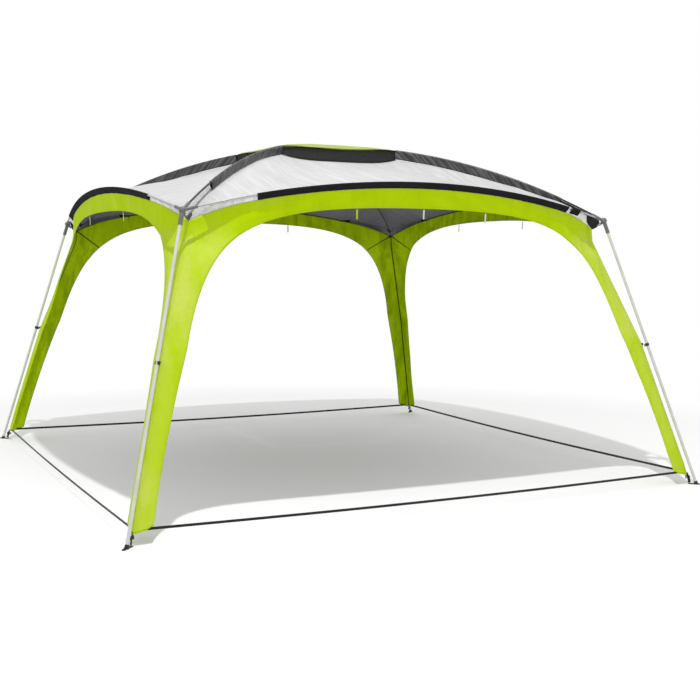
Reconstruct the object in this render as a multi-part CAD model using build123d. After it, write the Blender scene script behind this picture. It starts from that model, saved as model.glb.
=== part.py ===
"""Square dome shelter for a campsite: splayed legs, arched roof poles and a hung fabric canopy.

Units are millimetres, +Z is up. The origin is on the ground, midway between the four feet.
Everything is modelled once, at the front side (-Y) or at the front-right corner (+X, -Y), and
turned about Z in quarter turns for the other three.
"""
from build123d import *
from math import asin, cos, degrees, sqrt
import os

# ---------------------------------------------------------------- driving dimensions
FOOT = 1750.0            # half the distance between two feet
HUB = 1335.0             # half the distance between two corner hubs
HUB_Z = 1588.0           # height of a hub's centre
PEAK_UPPER = 2083.0      # crown of the upper diagonal pole's centre line
PEAK_LOWER = 2071.0      # crown of the diagonal pole that crosses under it
TOP = 2091.0             # crown of the vent cap, which is the overall height

LEG_R = 8.5              # leg tube, outside
LEG_WALL = 1.0
LEG_SPLIT = 860.0        # from the hub's centre down to the joint between the two leg sections
SPIGOT = 60.0            # reduced end of the lower section inside the upper one
FIT_GAP = 0.2            # around a tube pushed into another part of the same body
SLIDE_GAP = 0.3          # around a tube that slides in a part of another body

ROOF_POLE_R = 5.5        # diagonal poles
SIDE_POLE_R = 4.75       # perimeter poles
POLE_BORE_R = 3.0        # hollow core of both
POLE_SECTIONS = 3
SHOCK_CORD_R = 1.25
SIDE_RISE = 200.0        # rise of a perimeter arch in its own plane
SIDE_LEAN = 30.0         # how far that plane leans outwards from vertical, degrees
FERRULE_LENGTH = 80.0
FERRULE_WALL = 0.8
SECTION_GAP = 0.4        # between the ends of two pole sections

ARM = 80.0               # socket arm, from the hub's centre
BORE_START = 20.0        # where its bore begins
POLE_START = 22.0        # where poles and legs begin, from the hub's centre
BOSS_R = 19.0
LEG_ARM_R = 11.5
POLE_ARM_R = 8.5
ARM_CLEARANCE = 0.35     # straight bore round a slightly curved pole
LUG_HOLE = (26.0, -22.0)           # inwards of and above the hub's centre
LUG_R = 8.5
LUG_HOLE_R = 5.0
HOOK_R = 9.0
HOOK_WIRE_R = 1.8
HOOK_DIR = (0.819, -0.574)         # from the lug's hole towards the corner webbing's eyelet

CLOTH = 1.5              # thickness of the cloth solids
SEAM_GAP = 4.0           # between a cloth solid's edge and its neighbour's
RIDGE_DROP = 56.0        # from a diagonal pole's centre line down to the cloth ridge
APEX = 1284.0            # corner of the canopy below the hub
APEX_Z = 1540.0
RIDGE_TURN = 1115.0      # where the ridge leaves the pole and dips to the apex
RIDGE_SLOPE = 0.642
VENT = 400.0             # half the side of the vent
VENT_SAG = 30.0          # sag of the roof's edge at the middle of the vent
MESH_PLANE = 396.0
CAP_ROUND = 1.31e-4      # fall of the cap per square millimetre from its crown
CAP_SAG = 27.0           # extra fall at the middle of its sides

ROOF_SLEEVE = (412.0, 1105.0)      # ends of a diagonal sleeve, along X
ROOF_SLEEVE_DEPTH = 44.0           # below the upper pole's centre line
SIDE_SLEEVE = 950.0                # ends of a perimeter sleeve, along X
EAVE_DROP = 28.0         # from a perimeter pole's centre line down to the eave under its sleeve
EAVE_INSET = 15.0

CORNER_SEAM = ((1711.5, 65.0), (1508.0, 840.0), (1289.0, 1463.0), (APEX, APEX_Z))
HEM_INNER = (1605.0, 85.0)
ARCH_CURVE = ((1364.0, 900.0), (1194.0, 1516.0), (1000.0, 1625.0), (0.0, 1625.0))
ARCH_BULGE = 121.0       # how far the arch edge stands out at the middle of a side
ARCH_BULGE_REACH = 1770.0          # where that would fade to nothing along the side
BULGE_FADE = (860.0, 1570.0)       # heights between which it grows from nothing on the leg drape
DRAPE_BOW = 15.0         # how far the drape's free edge curves in towards the leg
DRAPE_SHARE = 0.4        # share of the arch curve that borders the leg drape

WEBBING_THICK = 1.2
STRAP_WIDTH = 14.0
STRAP_Z = 73.0
STRAP_SAG = 15.0
STRAP_END = 1660.0
STRAP_PLANE = 1699.5
CLIP_Z = 840.0
CLIP_HALF = 8.0
CLIP_R = 12.0
CLIP_LUG = 20.0
CLIP_MOUTH = 12.0
TAB_HALF = 8.0
TAB_LENGTH = 7.0         # outwards from the corner seam
FOOT_STRAP = (2412.0, 74.0, 2433.0, 9.0)     # its two ends: distance along the diagonal, height
FOOT_STRAP_HALF = 8.0
GUSSET_END = 316.0       # inwards from the hub, for the two corners of the upper diagonal pole
GUSSET_GAP = 13.0        # under that pole's centre line
TIE_SIZE = (12.0, 1.0, 55.0)
TIE_INSET = 6.0          # from the arch edge to the tie, inwards
TIE_DROP = 4.0           # from the arch edge down to the tie's sewn end
TIE_SPOTS = (-410.0, 410.0)        # from a side's middle
FRONT_TIE_SPOTS = (-380.0, 440.0, 30.0)

CUP_R = 11.0
CUP_TOP = 20.0           # along the leg from the ground point
CUP_FLOOR = 8.0
SOLE_R = 13.0
SOLE = 6.0
PEG_EYE = 26.0           # outwards from the foot's centre
PEG_EYE_R = 4.2
PEG_TONGUE_R = 8.5
TONGUE = 5.0
INNER_TONGUE = 48.0      # inwards from the foot's centre

SIDES = ("front", "right", "back", "left")
CORNERS = ("front_right", "back_right", "back_left", "front_left")

# ---------------------------------------------------------------- directions and planes
UP = Vector(0, 0, 1)
OUT = Vector(1, -1, 0).normalized()          # outwards along the front-right diagonal
ACROSS = OUT.cross(UP)                       # level, square to that diagonal
HUB_CENTRE = Vector(HUB, -HUB, HUB_Z)
FOOT_POINT = Vector(FOOT, -FOOT, 0)
LEG_DIR = (FOOT_POINT - HUB_CENTRE).normalized()
LEG_LENGTH = (FOOT_POINT - HUB_CENTRE).length
LEG_AXIS = Plane(origin=HUB_CENTRE, x_dir=ACROSS, z_dir=LEG_DIR)       # +Y is inwards
DIAGONAL = Plane(origin=HUB_CENTRE, x_dir=OUT * -1, z_dir=ACROSS * -1)   # +X inwards, +Y up
HUB_OUT = HUB * sqrt(2)                      # the hub's distance along the diagonal


# ---------------------------------------------------------------- small helpers
def mix(a, b, share):
    return a + (b - a) * share


def turned(shape, quarter):
    """The shape turned about Z by whole quarter turns."""
    return shape.rotate(Axis.Z, 90.0 * quarter)


def across_diagonal(vector):
    """The vector mirrored in the vertical plane through the front-right diagonal."""
    return Vector(-vector.Y, -vector.X, vector.Z)


def write(name, *solids):
    """Writes one node, as one solid or as a group of separate solids."""
    node = solids[0] if len(solids) == 1 else Compound(children=list(solids))
    export_step(node, f"parts/{name}.step")


def rod(plane, radius, start, end):
    """A cylinder on the plane's axis."""
    body = Cylinder(radius, end - start, align=(Align.CENTER, Align.CENTER, Align.MIN))
    return plane * Pos(0, 0, start) * body


def tube(plane, outer, inner, start, end):
    return rod(plane, outer, start, end) - rod(plane, inner, start - 1, end + 1)


def plate(plane, outline, thickness):
    """A flat plate of the outline, centred on the plane."""
    face = plane * make_face(Polyline(*outline, close=True))
    return extrude(face, amount=thickness / 2, both=True)


def box_at(plane, x, y, z):
    """A box between the given limits in the plane's coordinates."""
    size = Box(x[1] - x[0], y[1] - y[0], z[1] - z[0])
    return plane * Pos((x[0] + x[1]) / 2, (y[0] + y[1]) / 2, (z[0] + z[1]) / 2) * size


def cloth(rows, direction):
    """A thin closed solid of the surface through the rows of points, thickened one way."""
    surface = Face.make_surface_from_array_of_points(rows)
    return extrude(surface, amount=CLOTH, dir=direction).solid()


# ---------------------------------------------------------------- arches
class Arch:
    """A circular arch: its chord is centred on a point, and it rises square to the chord."""

    def __init__(self, middle, x_dir, rise_dir, half, rise):
        self.radius = (half ** 2 + rise ** 2) / (2 * rise)
        self.half = half
        centre = middle + rise_dir * (rise - self.radius)
        self.plane = Plane(origin=centre, x_dir=x_dir, z_dir=x_dir.cross(rise_dir))

    def height(self, along):
        return sqrt(self.radius ** 2 - along ** 2)

    def point(self, along):
        return self.plane.from_local_coords(Vector(along, self.height(along), 0))

    def socket_dir(self):
        """Direction of a straight socket that the arch's far end sits in."""
        return (self.point(self.trimmed(ARM)) - self.point(self.half)).normalized()

    def trimmed(self, distance):
        """Half chord of the arch when this length is cut off its end."""
        return self.half - distance * self.height(self.half) / self.radius

    def swept(self, profile, start, end):
        """The profile, drawn as (radial, sideways) about the centre line, swept along the arch."""
        low = 90.0 - degrees(asin(end / self.radius))
        high = 90.0 - degrees(asin(start / self.radius))
        placed = Plane.XZ * Pos(self.radius, 0) * profile
        return (self.plane * Rot(0, 0, low) * revolve(placed, Axis.Z, high - low)).solid()


def diagonal_arch(peak):
    return Arch(Vector(0, 0, HUB_Z), OUT, UP, HUB_OUT, peak - HUB_Z)


UPPER = diagonal_arch(PEAK_UPPER)
LOWER = diagonal_arch(PEAK_LOWER)
SIDE = Arch(Vector(0, -HUB, HUB_Z), Vector(1, 0, 0), UP.rotate(Axis.X, SIDE_LEAN), HUB, SIDE_RISE)


# ---------------------------------------------------------------- frame
def pole(arch, radius):
    """The pole's tube sections, the ferrules over their joints and the elastic core."""
    reach = arch.trimmed(POLE_START)
    ends = [mix(-reach, reach, i / POLE_SECTIONS) for i in range(POLE_SECTIONS + 1)]
    ring = Circle(radius) - Circle(POLE_BORE_R)
    half_gap = SECTION_GAP / 2
    sections = [arch.swept(ring, a + half_gap, b - half_gap) for a, b in zip(ends, ends[1:])]
    collar = Circle(radius + FIT_GAP + FERRULE_WALL) - Circle(radius + FIT_GAP)
    half = FERRULE_LENGTH / 2
    ferrules = [arch.swept(collar, joint - half, joint + half) for joint in ends[1:-1]]
    cord = arch.swept(Circle(SHOCK_CORD_R), 1 - reach, reach - 1)
    return sections, ferrules, cord


def lug():
    """Eye plate under the hub that the corner hook passes through."""
    x, y = LUG_HOLE
    web = plate(DIAGONAL, [(8, -4), (x, y + LUG_R), (x, y - LUG_R), (4, -18)], 4.0)
    eye = DIAGONAL * Pos(x, y, 0) * Cylinder(LUG_R, 4.0)
    return web + eye - DIAGONAL * Pos(x, y, 0) * Cylinder(LUG_HOLE_R, 6.0)


def hub(roof_arch):
    """Moulded corner hub: a leg socket, two perimeter sockets, a roof socket and the eye plate."""
    side_dir = SIDE.socket_dir()
    roof_dir = roof_arch.socket_dir()
    side_bore = SIDE_POLE_R + ARM_CLEARANCE
    arms = [
        (LEG_AXIS, LEG_ARM_R, LEG_R + SLIDE_GAP),
        (Plane(origin=HUB_CENTRE, z_dir=side_dir), POLE_ARM_R, side_bore),
        (Plane(origin=HUB_CENTRE, z_dir=across_diagonal(side_dir)), POLE_ARM_R, side_bore),
        (Plane(origin=HUB_CENTRE, z_dir=roof_dir), POLE_ARM_R, ROOF_POLE_R + ARM_CLEARANCE),
    ]
    body = Pos(*HUB_CENTRE) * Sphere(BOSS_R)
    for plane, outer, _ in arms:
        body += rod(plane, outer, 0, ARM)
    body += lug()
    for plane, _, bore in arms:
        body -= rod(plane, bore, BORE_START, ARM + 1)
    return body.solid()


def leg_upper():
    return tube(LEG_AXIS, LEG_R, LEG_R - LEG_WALL, POLE_START, LEG_SPLIT).solid()


def leg_lower():
    """Lower leg section with its reduced spigot inside the upper one."""
    inner = LEG_R - LEG_WALL
    spigot_r = inner - FIT_GAP
    spigot_bore = spigot_r - LEG_WALL
    body = tube(LEG_AXIS, LEG_R, inner, LEG_SPLIT + SECTION_GAP, LEG_LENGTH - CUP_FLOOR - SECTION_GAP)
    body += tube(LEG_AXIS, LEG_R - LEG_WALL / 2, spigot_bore, LEG_SPLIT + SECTION_GAP, LEG_SPLIT + SPIGOT)
    body += tube(LEG_AXIS, spigot_r, spigot_bore, LEG_SPLIT - SPIGOT, LEG_SPLIT + SPIGOT)
    return body.solid()


def foot_cap():
    """Moulded cup under the leg, with a level sole, a peg eye outside and a strap lug inside."""
    up_leg = Plane(origin=FOOT_POINT, x_dir=ACROSS, z_dir=LEG_DIR * -1)
    level = Plane(origin=FOOT_POINT, x_dir=OUT, z_dir=UP)
    body = rod(up_leg, CUP_R, -CUP_R, CUP_TOP)
    body += rod(level, SOLE_R, 0, SOLE)
    body += box_at(level, (0, PEG_EYE), (-PEG_TONGUE_R, PEG_TONGUE_R), (0, TONGUE))
    body += rod(level * Pos(PEG_EYE, 0, 0), PEG_TONGUE_R, 0, TONGUE)
    body += box_at(level, (-INNER_TONGUE, 0), (-PEG_TONGUE_R, PEG_TONGUE_R), (0, TONGUE))
    body -= rod(level * Pos(PEG_EYE, 0, 0), PEG_EYE_R, -1, TONGUE + 1)
    body -= rod(up_leg, LEG_R + FIT_GAP, CUP_FLOOR, CUP_TOP + 1)
    body -= box_at(level, (-60, 60), (-60, 60), (-30, 0))
    return body.solid()


def leg_clip():
    """Snap ring round the leg, open outwards, with a slotted lug on its inner side."""
    middle = (HUB_Z - CLIP_Z) / -LEG_DIR.Z
    at = LEG_AXIS * Pos(0, 0, middle)
    body = rod(at, CLIP_R, -CLIP_HALF, CLIP_HALF)
    body += box_at(at, (-6, 6), (0, CLIP_LUG), (-CLIP_HALF, CLIP_HALF))
    body -= rod(at, LEG_R + SLIDE_GAP, -CLIP_HALF - 1, CLIP_HALF + 1)
    body -= box_at(at, (-CLIP_MOUTH / 2, CLIP_MOUTH / 2), (-CLIP_R - 1, 0), (-CLIP_HALF - 1, CLIP_HALF + 1))
    body -= box_at(at, (-7, 7), (CLIP_R + 1.5, CLIP_R + 5), (-CLIP_HALF + 3, CLIP_HALF - 3))
    return body.solid()


def corner_hook():
    """Wire ring that joins the hub's eye plate to the corner webbing."""
    x = LUG_HOLE[0] + HOOK_R * HOOK_DIR[0]
    y = LUG_HOLE[1] + HOOK_R * HOOK_DIR[1]
    centre = DIAGONAL.from_local_coords(Vector(x, y, 0))
    normal = DIAGONAL.from_local_coords(Vector(x - HOOK_DIR[1], y + HOOK_DIR[0], 0)) - centre
    return (Plane(origin=centre, x_dir=ACROSS, z_dir=normal) * Torus(HOOK_R, HOOK_WIRE_R)).solid()


# ---------------------------------------------------------------- webbing
def ear(roof_arch):
    """The hook's reinforced ear; under the upper diagonal pole it runs on as a gusset."""
    eye = (LUG_HOLE[0] + 2 * HOOK_R * HOOK_DIR[0], LUG_HOLE[1] + 2 * HOOK_R * HOOK_DIR[1])
    outline = [(eye[0], eye[1] + 6), (104, -8), (108, -20), (76, -54), (eye[0], eye[1] - 6)]
    if roof_arch is UPPER:
        spots = [mix(108.0, GUSSET_END, step / 4) for step in range(5)]
        over = [(d, roof_arch.point(HUB_OUT - d).Z - HUB_Z - GUSSET_GAP) for d in spots]
        under = [(d, ridge_height(HUB - d / sqrt(2)) - HUB_Z + SEAM_GAP) for d in spots]
        outline[1:3] = [(85, 16)] + over + under[::-1]
    body = plate(DIAGONAL, outline, 2.0)
    body += DIAGONAL * Pos(*eye, 0) * Cylinder(7.0, 2.0)
    body -= DIAGONAL * Pos(*eye, 0) * Cylinder(4.5, 4.0)
    return body.solid()


def foot_strap_line():
    """The two ends of the foot strap in the diagonal plane."""
    top_out, top_z, end_out, end_z = FOOT_STRAP
    return (HUB_OUT - top_out, top_z - HUB_Z), (HUB_OUT - end_out, end_z - HUB_Z)


def corner_webbing(roof_arch):
    """Black webbing at one corner: the hook's ear, the clip's tab and the foot strap."""
    seam = HUB_OUT - CORNER_SEAM[1][0] * sqrt(2)
    level = CLIP_Z - HUB_Z
    tab = box_at(DIAGONAL, (seam - TAB_LENGTH, seam + 4), (level - TAB_HALF, level + TAB_HALF),
                 (-WEBBING_THICK / 2, WEBBING_THICK / 2))
    top, end = foot_strap_line()
    outline = [(top[0] - FOOT_STRAP_HALF, top[1]), (end[0] - FOOT_STRAP_HALF, end[1]),
               (end[0] + FOOT_STRAP_HALF, end[1]), (top[0] + FOOT_STRAP_HALF, top[1])]
    return ear(roof_arch), tab.solid(), plate(DIAGONAL, outline, WEBBING_THICK).solid()


def foot_buckle():
    """Ladder buckle: a flat frame that the foot strap threads through."""
    top, end = foot_strap_line()
    at = DIAGONAL * Pos(mix(top[0], end[0], 0.5), mix(top[1], end[1], 0.5), 0)
    body = box_at(at, (-14, 14), (-9, 9), (-3.5, 3.5))
    body -= box_at(at, (-11.5, 11.5), (-10, 10), (-WEBBING_THICK, WEBBING_THICK))
    body -= box_at(at, (-10, 10), (-6, -1.5), (-4, 4))
    body -= box_at(at, (-10, 10), (1.5, 6), (-4, 4))
    return body.solid()


def ground_strap():
    """Taut webbing between the hems of two legs, on edge and with a slight sag."""
    span = Arch(Vector(0, -STRAP_PLANE, STRAP_Z), Vector(1, 0, 0), UP * -1, STRAP_END, STRAP_SAG)
    return span.swept(Rectangle(STRAP_WIDTH, WEBBING_THICK), -STRAP_END, STRAP_END)


# ---------------------------------------------------------------- canopy surfaces
def seam_at(height):
    """Half width of the canopy at a corner seam, at this height."""
    for (x0, z0), (x1, z1) in zip(CORNER_SEAM, CORNER_SEAM[1:]):
        if height <= z1:
            return mix(x0, x1, (height - z0) / (z1 - z0))
    return APEX


def curve_at(share):
    """(x, z) on the curved part of the arch edge: 0 at the leg, 1 at the middle of the side."""
    keep = 1 - share
    weights = (keep ** 3, 3 * keep ** 2 * share, 3 * keep * share ** 2, share ** 3)
    x = sum(w * p[0] for w, p in zip(weights, ARCH_CURVE))
    z = sum(w * p[1] for w, p in zip(weights, ARCH_CURVE))
    return x, z


def arch_edge(x, z):
    """The front arch edge's point for this (x, z)."""
    low, high = BULGE_FADE
    rise = min(1.0, max(0.0, (z - low) / (high - low)))
    fade = rise * rise * (3 - 2 * rise)
    bulge = ARCH_BULGE * (1 - (x / ARCH_BULGE_REACH) ** 2) * fade
    return Vector(x, -seam_at(z) - bulge, z)


def arch_height(x):
    """Height of the arch edge at this distance from the middle of a side."""
    low, high = 0.0, 1.0
    while high - low > 1e-6:
        middle = (low + high) / 2
        if curve_at(middle)[0] > x:
            low = middle
        else:
            high = middle
    return curve_at(low)[1]


def eave(x):
    """The front eave's point at this x: under the perimeter sleeve, then down to the apex."""
    beyond = abs(x) - SIDE_SLEEVE
    if beyond <= 0:
        pole_point = SIDE.point(x)
        return Vector(x, pole_point.Y + EAVE_INSET, pole_point.Z - EAVE_DROP)
    start = eave(SIDE_SLEEVE)
    slope = (eave(SIDE_SLEEVE) - eave(SIDE_SLEEVE - 1))
    reach = APEX - SIDE_SLEEVE
    bend_y = (-APEX - start.Y - slope.Y * reach) / reach ** 2
    bend_z = (APEX_Z - start.Z - slope.Z * reach) / reach ** 2
    y = start.Y + slope.Y * beyond + bend_y * beyond ** 2
    z = start.Z + slope.Z * beyond + bend_z * beyond ** 2
    return Vector(x, y, z)


def ridge_height(x):
    """Height of the roof ridge above the diagonal at this x."""
    if x <= RIDGE_TURN:
        return UPPER.point(x * sqrt(2)).Z - RIDGE_DROP
    start = ridge_height(RIDGE_TURN)
    beyond = x - RIDGE_TURN
    reach = APEX - RIDGE_TURN
    bend = (APEX_Z - start + RIDGE_SLOPE * reach) / reach ** 2
    return start - RIDGE_SLOPE * beyond + bend * beyond ** 2


def valance():
    """Curtain between the front eave and the arch edge."""
    rows = []
    for level in (0.0, 1 / 3, 2 / 3, 1.0):
        row = []
        for step in range(-8, 9):
            share = abs(step) / 8
            sign = 1 if step >= 0 else -1
            low_x, low_z = curve_at(1 - (1 - DRAPE_SHARE) * share)
            low = arch_edge(low_x, low_z)
            high = eave((APEX - SEAM_GAP) * share) - UP * SEAM_GAP
            point = mix(low, high, level)
            row.append(Vector(sign * point.X, point.Y, point.Z))
        rows.append(row)
    return cloth(rows, (0, 1, 0))


def drape_panels():
    """The two panels of the front-right leg drape, one for each side that meets there."""
    top_share = DRAPE_SHARE - 0.012
    top_seam = APEX_Z - 2 * SEAM_GAP
    rows = []
    for step in range(13):
        level = step / 12
        if level <= 0.6:
            spring_x, spring_z = ARCH_CURVE[0]
            part = level / 0.6
            bow = DRAPE_BOW * 4 * part * (1 - part)
            inner = (mix(HEM_INNER[0], spring_x, part) + bow, mix(HEM_INNER[1], spring_z, part))
        else:
            inner = curve_at(top_share * (level - 0.6) / 0.4)
        seam_z = mix(CORNER_SEAM[0][1], top_seam, level)
        seam_x = seam_at(seam_z)
        low = arch_edge(*inner)
        high = Vector(seam_x - SEAM_GAP, -seam_x, seam_z)
        rows.append([mix(low, high, share) for share in (0.0, 1 / 3, 2 / 3, 1.0)])
    front = cloth(rows, (0, 1, 0))
    side = front.mirror(Plane(origin=(0, 0, 0), z_dir=ACROSS))
    return front, side


def roof_gore():
    """Front gore of the roof: taut from the vent's edge to the eave, drawn up along its two ridges."""
    vent_z = ridge_height(VENT)
    rows = []
    for down in range(9):
        level = down / 8
        ridge = mix(VENT, APEX, level)
        lift = ridge_height(ridge) - mix(vent_z, APEX_Z, level)
        row = []
        for step in range(-8, 9):
            share = step / 8
            edge = eave(APEX * share)
            y = mix(-VENT, edge.Y, level)
            z = mix(vent_z - VENT_SAG * (1 - share ** 2), edge.Z, level) + lift * share ** 6
            row.append(Vector(share * (ridge - SEAM_GAP), y, z))
        rows.append(row)
    return cloth(rows, (0, 0, -1))


def vent_cap():
    """Cap over the vent, lying on the crossing poles with its sides sagging between them."""
    spots = [VENT * step / 4 for step in range(-4, 5)]
    rows = []
    for y in spots:
        row = []
        for x in spots:
            sag = CAP_SAG * ((x ** 2 - y ** 2) / VENT ** 2) ** 2
            row.append(Vector(x, y, TOP - CAP_ROUND * (x ** 2 + y ** 2) - sag))
        rows.append(row)
    return cloth(rows, (0, 0, -1))


def mesh_panel():
    """Mesh wall between the roof's edge and the cap, on the front side of the vent."""
    wall = Plane(origin=(0, -MESH_PLANE, 0), x_dir=(1, 0, 0), z_dir=(0, -1, 0))
    corner = ridge_height(VENT)
    top = Polyline((372, corner + 2), (372, corner + 44), (0, corner + 46), (-372, corner + 44),
                   (-372, corner + 2))
    bottom = ThreePointArc((-372, corner + 2), (0, corner - VENT_SAG + 2), (372, corner + 2))
    return extrude(wall * make_face(top + bottom), amount=0.5, both=True).solid()


def sleeve(arch, spans, bottom, top, half_width, wall):
    """Flat cloth sleeve round a pole, one solid for each span."""
    outer = Pos((top + bottom) / 2, 0) * Rectangle(top - bottom, 2 * half_width)
    inner = Pos((top + bottom) / 2, 0) * Rectangle(top - bottom - 2 * wall, 2 * (half_width - wall))
    return [arch.swept(outer - inner, *span) for span in spans]


def wall_tie(x):
    """Webbing tie that hangs inside the front arch edge."""
    height = arch_height(abs(x))
    edge = arch_edge(x, height)
    width, thick, length = TIE_SIZE
    top = height - TIE_DROP
    return Pos(x, edge.Y + TIE_INSET, top - length / 2) * Box(width, thick, length)


# ---------------------------------------------------------------- the model
def build():
    os.makedirs("parts", exist_ok=True)
    ferrules = []
    cords = []
    side_sections, side_ferrules, side_cord = pole(SIDE, SIDE_POLE_R)
    side_sleeve = sleeve(SIDE, [(-SIDE_SLEEVE, SIDE_SLEEVE)], -27, 8, 7.5, 1.0)
    roof_arches = (UPPER, LOWER, UPPER, LOWER)
    for quarter, corner in enumerate(CORNERS):
        write(f"hub_{corner}", turned(hub(roof_arches[quarter]), quarter))
    panels = {"leg_upper": (leg_upper(),), "leg_lower": (leg_lower(),),
              "foot_cap": (foot_cap(),), "leg_clip": (leg_clip(),), "leg_drape": drape_panels()}
    for name, solids in panels.items():
        for quarter, corner in enumerate(CORNERS):
            write(f"{name}_{corner}", *[turned(solid, quarter) for solid in solids])
    at_side = {"perimeter_pole": side_sections, "valance": [valance()], "roof_gore": [roof_gore()],
               "ground_strap": [ground_strap()]}
    for name, solids in at_side.items():
        for quarter, side in enumerate(SIDES):
            write(f"{name}_{side}", *[turned(solid, quarter) for solid in solids])
    everywhere = {"perimeter_sleeves": side_sleeve, "vent_mesh": [mesh_panel()],
                  "corner_hooks": [corner_hook()], "foot_buckles": [foot_buckle()]}
    for name, solids in everywhere.items():
        write(name, *[turned(solid, quarter) for quarter in range(4) for solid in solids])
    webbing = []
    for quarter in range(4):
        webbing += [turned(solid, quarter) for solid in corner_webbing(roof_arches[quarter])]
    write("corner_webbing", *webbing)
    for quarter in range(4):
        ferrules += [turned(ferrule, quarter) for ferrule in side_ferrules]
        cords.append(turned(side_cord, quarter))
    sleeves = []
    for name, arch, quarter in (("upper", UPPER, 0), ("lower", LOWER, 1)):
        sections, collars, cord = pole(arch, ROOF_POLE_R)
        write(f"diagonal_pole_{name}", *[turned(section, quarter) for section in sections])
        ferrules += [turned(collar, quarter) for collar in collars]
        cords.append(turned(cord, quarter))
        near, far = (end * sqrt(2) for end in ROOF_SLEEVE)
        bottom = UPPER.point(0).Z - arch.point(0).Z - ROOF_SLEEVE_DEPTH
        for half in sleeve(arch, [(near, far), (-far, -near)], bottom, 9, 8.5, 1.0):
            sleeves.append(turned(half, quarter))
    write("diagonal_sleeves", *sleeves)
    write("pole_ferrules", *ferrules)
    write("shock_cords", *cords)
    write("vent_cap", vent_cap())
    for quarter, side in enumerate(SIDES):
        spots = FRONT_TIE_SPOTS if side == "front" else TIE_SPOTS
        for number, x in enumerate(spots, 1):
            write(f"wall_tie_{side}_{number}", turned(wall_tie(x), quarter))


build()
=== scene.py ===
"""Blender scene of the square dome shelter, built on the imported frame.

Lengths are in metres, +Z is up and the origin is on the ground midway between the feet. Fabric,
webbing and tape are made here, at the front (-Y) or at the front-right corner (+X, -Y), and
turned about Z in quarter turns. Tubes, hubs, feet and clips are the frame's own pieces with
better materials.
"""
import bmesh
import bpy
from math import cos, hypot, pi, radians, sin, sqrt
from mathutils import Matrix, Vector, noise


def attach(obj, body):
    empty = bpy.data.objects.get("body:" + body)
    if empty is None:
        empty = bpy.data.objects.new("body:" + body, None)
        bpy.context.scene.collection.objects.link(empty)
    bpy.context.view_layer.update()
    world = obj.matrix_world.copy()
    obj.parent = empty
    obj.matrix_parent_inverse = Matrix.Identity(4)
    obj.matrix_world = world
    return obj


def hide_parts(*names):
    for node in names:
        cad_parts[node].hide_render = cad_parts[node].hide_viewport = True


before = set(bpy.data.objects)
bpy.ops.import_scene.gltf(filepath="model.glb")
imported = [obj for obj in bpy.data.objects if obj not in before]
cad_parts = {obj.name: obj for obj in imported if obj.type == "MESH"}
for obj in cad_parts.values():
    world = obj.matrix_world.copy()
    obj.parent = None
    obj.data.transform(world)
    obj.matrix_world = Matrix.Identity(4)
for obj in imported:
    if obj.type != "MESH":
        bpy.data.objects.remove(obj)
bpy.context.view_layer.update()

# -------- driving dimensions
HUB = 1.335  # from the middle to a hub, along X and along Y
HUB_Z = 1.588
HUB_OUT = HUB * sqrt(2)
PEAK_UPPER = 2.083  # centre line of the upper diagonal pole where the two cross
PEAK_LOWER = 2.071
SIDE_RISE = 0.200
SIDE_LEAN = radians(30)

APEX = 1.284  # where roof, valances and leg drape meet at a corner
APEX_Z = 1.540
CORNER_SEAM = ((1.7115, 0.065), (1.508, 0.840), (1.289, 1.463), (APEX, APEX_Z))
HEM_INNER = (1.605, 0.085)  # (x, z) of the hem at the arch edge
ARCH_CURVE = ((1.364, 0.900), (1.194, 1.516), (1.000, 1.625), (0.0, 1.625))
ARCH_BULGE = 0.121  # how far the arch edge leans out at the middle of a side
ARCH_BULGE_REACH = 1.770
BULGE_FADE = (0.860, 1.570)  # heights over which the bulge grows
DRAPE_BOW = 0.015
DRAPE_SHARE = 0.4  # share of the arch curve that belongs to a leg drape
HEM_DROP = 0.011  # how far the hem hangs lower near the corner seam

RIDGE_DROP = 0.056  # roof ridge under the upper pole
RIDGE_TURN = 1.115  # where the ridge leaves the pole, and its slope there
RIDGE_SLOPE = 0.642
VENT = 0.400
VENT_SAG = 0.030
MESH_PLANE = 0.396
CAP_TOP = 2.091
CAP_ROUND = 0.131
CAP_SAG = 0.027
CAP_DIP = 0.011
SIDE_SLEEVE = 0.950
ROOF_SLEEVE = (0.398, 1.105)
LONG_SLEEVE = 1.151  # where the sleeves of the upper pole end
PLEAT_LEAN = 1.3
SIDE_SLEEVE_ENDS = {"front": (-0.95, 1.035), "right": (-1.03, 0.95), "back": (-0.95, 0.95),
                    "left": (-1.12, 0.91)}
SLEEVE_TAIL = (1.060, 1.130)  # loose piece of sleeve beyond the front one's end
EAVE_DROP = 0.028
EAVE_INSET = 0.015
FOLD_DROP = 0.009
FOLD_END = 1.262

CLOTH = 0.0008  # thickness of cloth, and of webbing
TAPE = 0.0012
WELD_DIGITS = 5
TAUT = 0.05  # how far from a seam the cloth is held taut
FAR_HEM = 0.03  # distances that mean that there is no hem or seam near
NO_SEAM = 1.0
STRAP_WIDTH = 0.014
STRAP_Z = 0.073
STRAP_SAG = 0.015
STRAP_END = 1.660
STRAP_PLANE = 1.6995
TIE_SPOTS = (-0.410, 0.410)
FRONT_TIE_SPOTS = (-0.380, 0.440, 0.030)
TIE_INSET = 0.006
TIE_DROP = 0.004
TIE_SIZE = (0.010, 0.053)
SHORT_SEAMS = (0.415, 0.870)  # upright seams of a valance, from a side's middle

SIDES = ("front", "right", "back", "left")
CORNERS = ("front_right", "back_right", "back_left", "front_left")

UP = Vector((0, 0, 1))
OUT = Vector((1, -1, 0)).normalized()
ACROSS = OUT.cross(UP)


# -------- small helpers
def mix(a, b, share):
    return a + (b - a) * share


def shares(count):
    """Even steps from 0 to 1."""
    return [step / count for step in range(count + 1)]


def ease(low, high, value):
    """0 below low, 1 above high and a smooth step between them."""
    share = min(1.0, max(0.0, (value - low) / (high - low)))
    return share * share * (3 - 2 * share)


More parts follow.
